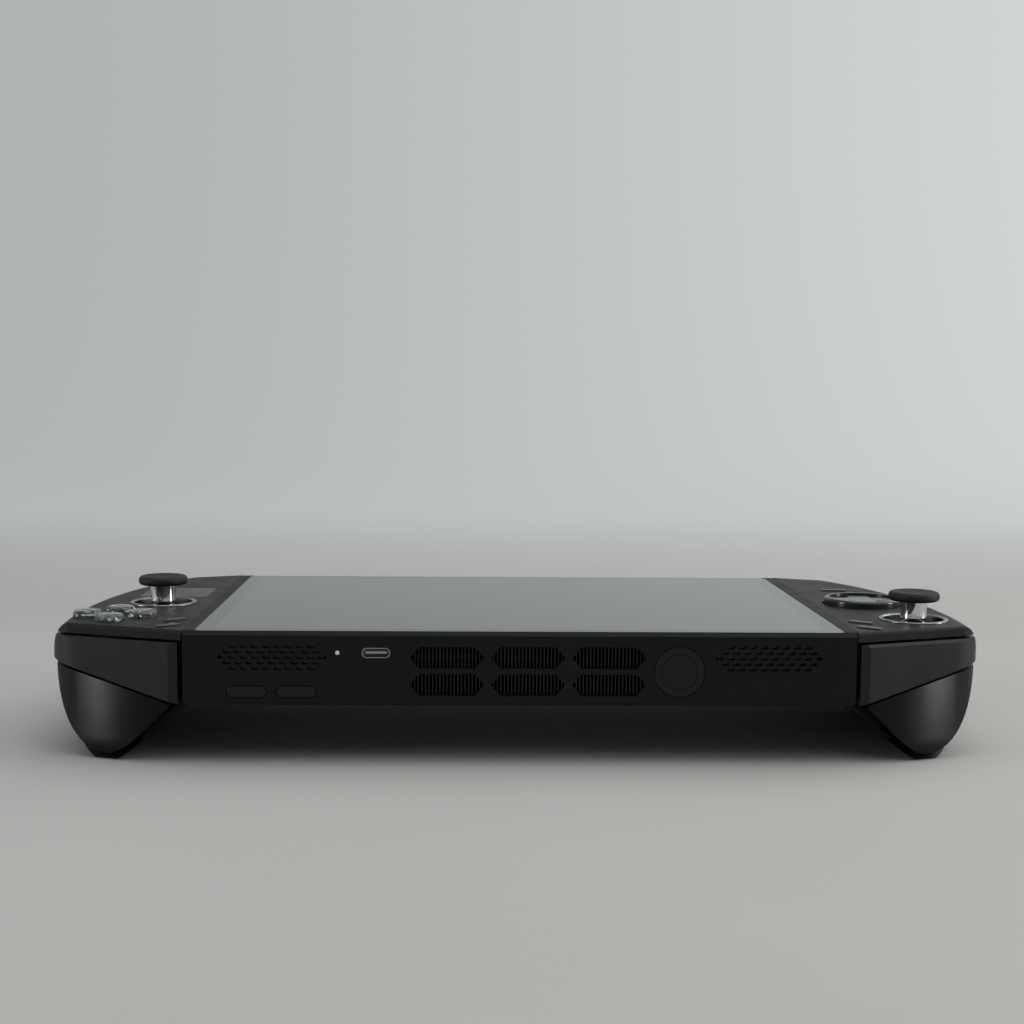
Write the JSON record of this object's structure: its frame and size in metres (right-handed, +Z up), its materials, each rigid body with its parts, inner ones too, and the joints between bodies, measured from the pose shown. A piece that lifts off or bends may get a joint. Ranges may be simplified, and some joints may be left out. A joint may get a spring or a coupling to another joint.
{
  "type": "handheld game console",
  "caption": "Handheld game console lying screen up: a flat screen slab between two slide-off controllers with raised grips, thumbsticks, buttons, bumpers, triggers and a kickstand.",
  "frame": {"origin": "centre of the footprint's bounding box, on the table", "axes": "+X along the long side towards the player's left controller, -Y towards the edge with vents and volume buttons, +Z up from the table, out of the screen"},
  "size_m": [0.2956, 0.1368, 0.0514],
  "materials": {
    "shell_plastic": "fine satin",
    "screen_glass": "polished",
    "display_layers": "matte",
    "frame_metal": "milled",
    "screw_steel": "blackened",
    "stand_metal": "fine satin",
    "pin_steel": "turned",
    "speaker_plastic": "matte",
    "fin_metal": "plain",
    "fan_plastic": "matte",
    "circuit_board": "coated",
    "battery_wrap": "film",
    "port_metal": "plain",
    "light_guide": "clear",
    "side_button_plastic": "satin",
    "dpad_plastic": "satin",
    "gimbal_plastic": "matte",
    "touch_surface": "fine satin",
    "faceplate_plastic": "satin",
    "grip_plastic": "fine satin",
    "rail_metal": "anodised",
    "bumper_plastic": "satin",
    "trigger_plastic": "satin",
    "ring_metal": "satin",
    "dome_plastic": "polished",
    "shaft_chrome": "polished",
    "cap_rubber": "matte",
    "pill_plastic": "satin",
    "clear_button": "clear"
  },
  "bodies": {
    "console": {"housing": "shell_plastic", "cover_glass": "screen_glass", "display_panel": "display_layers", "mid_frame": "frame_metal", "back_cover": "shell_plastic", "housing_screws": "screw_steel", "kickstand_pin": "pin_steel", "speakers": "speaker_plastic", "heat_sink": "fin_metal", "fan_housing": "fan_plastic", "motherboard": "circuit_board", "battery_pack": "battery_wrap", "usb_port": "port_metal", "status_light": "light_guide"},
    "kickstand": {"kickstand": "stand_metal"},
    "fan_rotor": {"fan_rotor": "fan_plastic"},
    "power_button": {"power_button": "side_button_plastic"},
    "volume_up_button": {"volume_up_button": "side_button_plastic"},
    "volume_down_button": {"volume_down_button": "side_button_plastic"},
    "left_controller": {"left_front_shell": "faceplate_plastic", "left_rear_shell": "grip_plastic", "left_rail": "rail_metal", "left_trigger_pin": "pin_steel", "left_stick_ring": "ring_metal", "left_board": "circuit_board", "left_battery": "battery_wrap"},
    "left_bumper": {"left_bumper": "bumper_plastic"},
    "left_trigger": {"left_trigger": "trigger_plastic"},
    "left_stick_rocker": {"left_stick_rocker": "gimbal_plastic"},
    "left_stick_pivot": {"left_stick_pivot": "dome_plastic"},
    "left_stick": {"left_stick_shaft": "shaft_chrome", "left_stick_cap": "cap_rubber"},
    "left_dpad_pivot": {"left_dpad_pivot": "gimbal_plastic"},
    "left_dpad": {"left_dpad": "dpad_plastic"},
    "left_view_button": {"left_view_button": "pill_plastic"},
    "left_menu_button": {"left_menu_button": "pill_plastic"},
    "left_home_button": {"left_home_button": "pill_plastic"},
    "left_release_button": {"left_release_button": "side_button_plastic"},
    "right_controller": {"right_front_shell": "faceplate_plastic", "right_rear_shell": "grip_plastic", "right_rail": "rail_metal", "right_trigger_pin": "pin_steel", "right_stick_ring": "ring_metal", "right_board": "circuit_board", "right_battery": "battery_wrap", "right_touchpad": "touch_surface"},
    "right_bumper": {"right_bumper": "bumper_plastic"},
    "right_trigger": {"right_trigger": "trigger_plastic"},
    "right_stick_rocker": {"right_stick_rocker": "gimbal_plastic"},
    "right_stick_pivot": {"right_stick_pivot": "dome_plastic"},
    "right_stick": {"right_stick_shaft": "shaft_chrome", "right_stick_cap": "cap_rubber"},
    "right_a_button": {"right_a_button": "clear_button"},
    "right_b_button": {"right_b_button": "clear_button"},
    "right_x_button": {"right_x_button": "clear_button"},
    "right_y_button": {"right_y_button": "clear_button"},
    "right_upper_button": {"right_upper_button": "pill_plastic"},
    "right_lower_button": {"right_lower_button": "pill_plastic"},
    "right_release_button": {"right_release_button": "side_button_plastic"}
  },
  "joints": [
    {"name": "kickstand_hinge", "type": "hinge", "parent": "console", "child": "kickstand", "pos_m": [0, -0.00285, 0.0204], "axis": [-1, 0, 0], "range_deg": [0, 75]},
    {"name": "fan_spin", "type": "hinge", "parent": "console", "child": "fan_rotor", "pos_m": [0.002, -0.03385, 0.025], "axis": [0, 0, 1], "continuous": true},
    {"name": "power_press", "type": "slide", "parent": "console", "child": "power_button", "axis": [0, 1, 0], "range_m": [0, 0.0004], "stiffness_N_per_m": 900},
    {"name": "volume_up_press", "type": "slide", "parent": "console", "child": "volume_up_button", "axis": [0, 1, 0], "range_m": [0, 0.0004], "stiffness_N_per_m": 900},
    {"name": "volume_down_press", "type": "slide", "parent": "console", "child": "volume_down_button", "axis": [0, 1, 0], "range_m": [0, 0.0004], "stiffness_N_per_m": 900},
    {"name": "left_controller_slide", "type": "slide", "parent": "console", "child": "left_controller", "axis": [0, 1, 0], "range_m": [0, 0.112]},
    {"name": "left_bumper_press", "type": "hinge", "parent": "left_controller", "child": "left_bumper", "pos_m": [0.1057, -0.06016, 0.033], "axis": [0, 0, 1], "range_deg": [0, 0.9], "stiffness_Nm_per_rad": 2},
    {"name": "left_trigger_pull", "type": "hinge", "parent": "left_controller", "child": "left_trigger", "pos_m": [0.10034, -0.06124, 0.03025], "axis": [0.9348, 0.3551, 0], "range_deg": [0, 7], "stiffness_Nm_per_rad": 0.12},
    {"name": "left_stick_tilt_depth", "type": "hinge", "parent": "left_controller", "child": "left_stick_rocker", "pos_m": [0.1284, -0.03925, 0.03425], "axis": [1, 0, 0], "range_deg": [-20, 20], "stiffness_Nm_per_rad": 0.03},
    {"name": "left_stick_tilt_side", "type": "hinge", "parent": "left_stick_rocker", "child": "left_stick_pivot", "pos_m": [0.1284, -0.03925, 0.03425], "axis": [0, 1, 0], "range_deg": [-20, 20], "stiffness_Nm_per_rad": 0.03},
    {"name": "left_stick_click", "type": "slide", "parent": "left_stick_pivot", "child": "left_stick", "axis": [0, 0, -1], "range_m": [0, 0.0005], "stiffness_N_per_m": 4000},
    {"name": "left_dpad_rock_depth", "type": "hinge", "parent": "left_controller", "child": "left_dpad_pivot", "pos_m": [0.1205, -0.00375, 0.03525], "axis": [1, 0, 0], "range_deg": [-2.5, 2.5], "stiffness_Nm_per_rad": 0.3},
    {"name": "left_dpad_rock_side", "type": "hinge", "parent": "left_dpad_pivot", "child": "left_dpad", "pos_m": [0.1205, -0.00375, 0.03525], "axis": [0, 1, 0], "range_deg": [-2.5, 2.5], "stiffness_Nm_per_rad": 0.3},
    {"name": "left_view_press", "type": "slide", "parent": "left_controller", "child": "left_view_button", "axis": [0, 0, -1], "range_m": [0, 0.0005], "stiffness_N_per_m": 600},
    {"name": "left_menu_press", "type": "slide", "parent": "left_controller", "child": "left_menu_button", "axis": [0, 0, -1], "range_m": [0, 0.0005], "stiffness_N_per_m": 600},
    {"name": "left_home_press", "type": "slide", "parent": "left_controller", "child": "left_home_button", "axis": [0, 0, -1], "range_m": [0, 0.0005], "stiffness_N_per_m": 600},
    {"name": "left_release_press", "type": "slide", "parent": "left_controller", "child": "left_release_button", "axis": [0, 0, 1], "range_m": [0, 0.0012], "stiffness_N_per_m": 600},
    {"name": "right_controller_slide", "type": "slide", "parent": "console", "child": "right_controller", "axis": [0, 1, 0], "range_m": [0, 0.112]},
    {"name": "right_bumper_press", "type": "hinge", "parent": "right_controller", "child": "right_bumper", "pos_m": [-0.1057, -0.06016, 0.033], "axis": [0, 0, -1], "range_deg": [0, 0.9], "stiffness_Nm_per_rad": 2},
    {"name": "right_trigger_pull", "type": "hinge", "parent": "right_controller", "child": "right_trigger", "pos_m": [-0.10034, -0.06124, 0.03025], "axis": [0.9348, -0.3551, 0], "range_deg": [0, 7], "stiffness_Nm_per_rad": 0.12},
    {"name": "right_stick_tilt_depth", "type": "hinge", "parent": "right_controller", "child": "right_stick_rocker", "pos_m": [-0.1198, -0.00725, 0.03425], "axis": [1, 0, 0], "range_deg": [-20, 20], "stiffness_Nm_per_rad": 0.03},
    {"name": "right_stick_tilt_side", "type": "hinge", "parent": "right_stick_rocker", "child": "right_stick_pivot", "pos_m": [-0.1198, -0.00725, 0.03425], "axis": [0, 1, 0], "range_deg": [-20, 20], "stiffness_Nm_per_rad": 0.03},
    {"name": "right_stick_click", "type": "slide", "parent": "right_stick_pivot", "child": "right_stick", "axis": [0, 0, -1], "range_m": [0, 0.0005], "stiffness_N_per_m": 4000},
    {"name": "right_a_press", "type": "slide", "parent": "right_controller", "child": "right_a_button", "axis": [0, 0, -1], "range_m": [0, 0.001], "stiffness_N_per_m": 500},
    {"name": "right_b_press", "type": "slide", "parent": "right_controller", "child": "right_b_button", "axis": [0, 0, -1], "range_m": [0, 0.001], "stiffness_N_per_m": 500},
    {"name": "right_x_press", "type": "slide", "parent": "right_controller", "child": "right_x_button", "axis": [0, 0, -1], "range_m": [0, 0.001], "stiffness_N_per_m": 500},
    {"name": "right_y_press", "type": "slide", "parent": "right_controller", "child": "right_y_button", "axis": [0, 0, -1], "range_m": [0, 0.001], "stiffness_N_per_m": 500},
    {"name": "right_upper_press", "type": "slide", "parent": "right_controller", "child": "right_upper_button", "axis": [0, 0, -1], "range_m": [0, 0.0005], "stiffness_N_per_m": 600},
    {"name": "right_lower_press", "type": "slide", "parent": "right_controller", "child": "right_lower_button", "axis": [0, 0, -1], "range_m": [0, 0.0005], "stiffness_N_per_m": 600},
    {"name": "right_release_press", "type": "slide", "parent": "right_controller", "child": "right_release_button", "axis": [0, 0, 1], "range_m": [0, 0.0012], "stiffness_N_per_m": 600}
  ]
}
